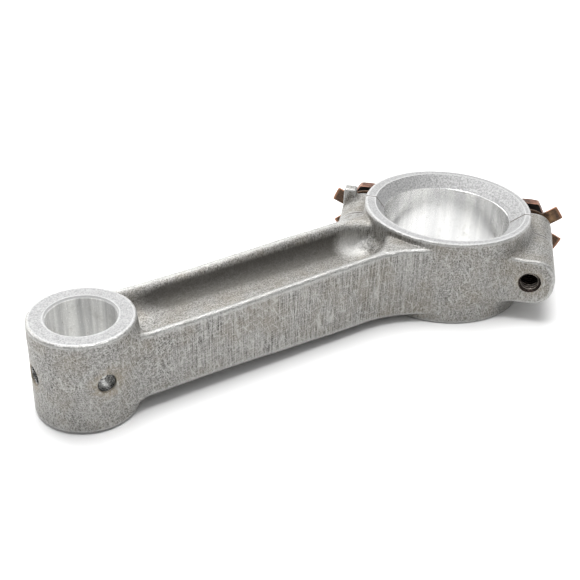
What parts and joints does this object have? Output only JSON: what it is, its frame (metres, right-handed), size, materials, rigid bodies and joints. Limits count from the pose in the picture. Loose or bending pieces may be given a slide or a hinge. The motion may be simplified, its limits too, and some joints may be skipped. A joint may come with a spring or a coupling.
{
  "type": "connecting rod",
  "caption": "Cast connecting rod with a plain pin bore, a channelled beam and an obliquely split crankpin end whose bolted cap carries sheet lock plates.",
  "frame": {"origin": "centre of the crankpin bore, halfway along its length", "axes": "+X from the piston pin bore to the crankpin bore, +Z along both bores, +Y to the side that the cap leans towards"},
  "size_m": [0.1913, 0.0848, 0.029],
  "materials": {
    "rod_casting": "rough cast with machined bores",
    "cap_casting": "rough cast with machined bore",
    "bolts": "copper-brown plated steel, worn",
    "lock_plates": "copper-brown plated sheet, worn edges"
  },
  "bodies": {
    "rod": {"rod_body": "rod_casting"},
    "cap": {"rod_cap": "cap_casting"},
    "bolt_near": {"near_bolt": "bolts"},
    "bolt_far": {"far_bolt": "bolts"},
    "plate_near": {"near_lock_plate": "lock_plates"},
    "plate_far": {"far_lock_plate": "lock_plates"}
  },
  "joints": [
    {"name": "cap_slide", "type": "slide", "parent": "rod", "child": "cap", "axis": [0.7071, 0.7071, 0], "range_m": [0, 0.03]},
    {"name": "near_bolt_travel", "type": "slide", "parent": "cap", "child": "bolt_near", "axis": [0.7071, 0.7071, 0], "range_m": [-0.0108, 0.022]},
    {"name": "far_bolt_travel", "type": "slide", "parent": "cap", "child": "bolt_far", "axis": [0.7071, 0.7071, 0], "range_m": [-0.0088, 0.024]},
    {"name": "near_plate_travel", "type": "slide", "parent": "cap", "child": "plate_near", "axis": [0.7071, 0.7071, 0], "range_m": [-0.0034, 0.007]},
    {"name": "far_plate_travel", "type": "slide", "parent": "cap", "child": "plate_far", "axis": [0.7071, 0.7071, 0], "range_m": [-0.003, 0.0082]}
  ],
  "couplings": [
    {"joint": "near_plate_travel", "follows": "near_bolt_travel", "ratio": 0.31},
    {"joint": "far_plate_travel", "follows": "far_bolt_travel", "ratio": 0.335}
  ]
}
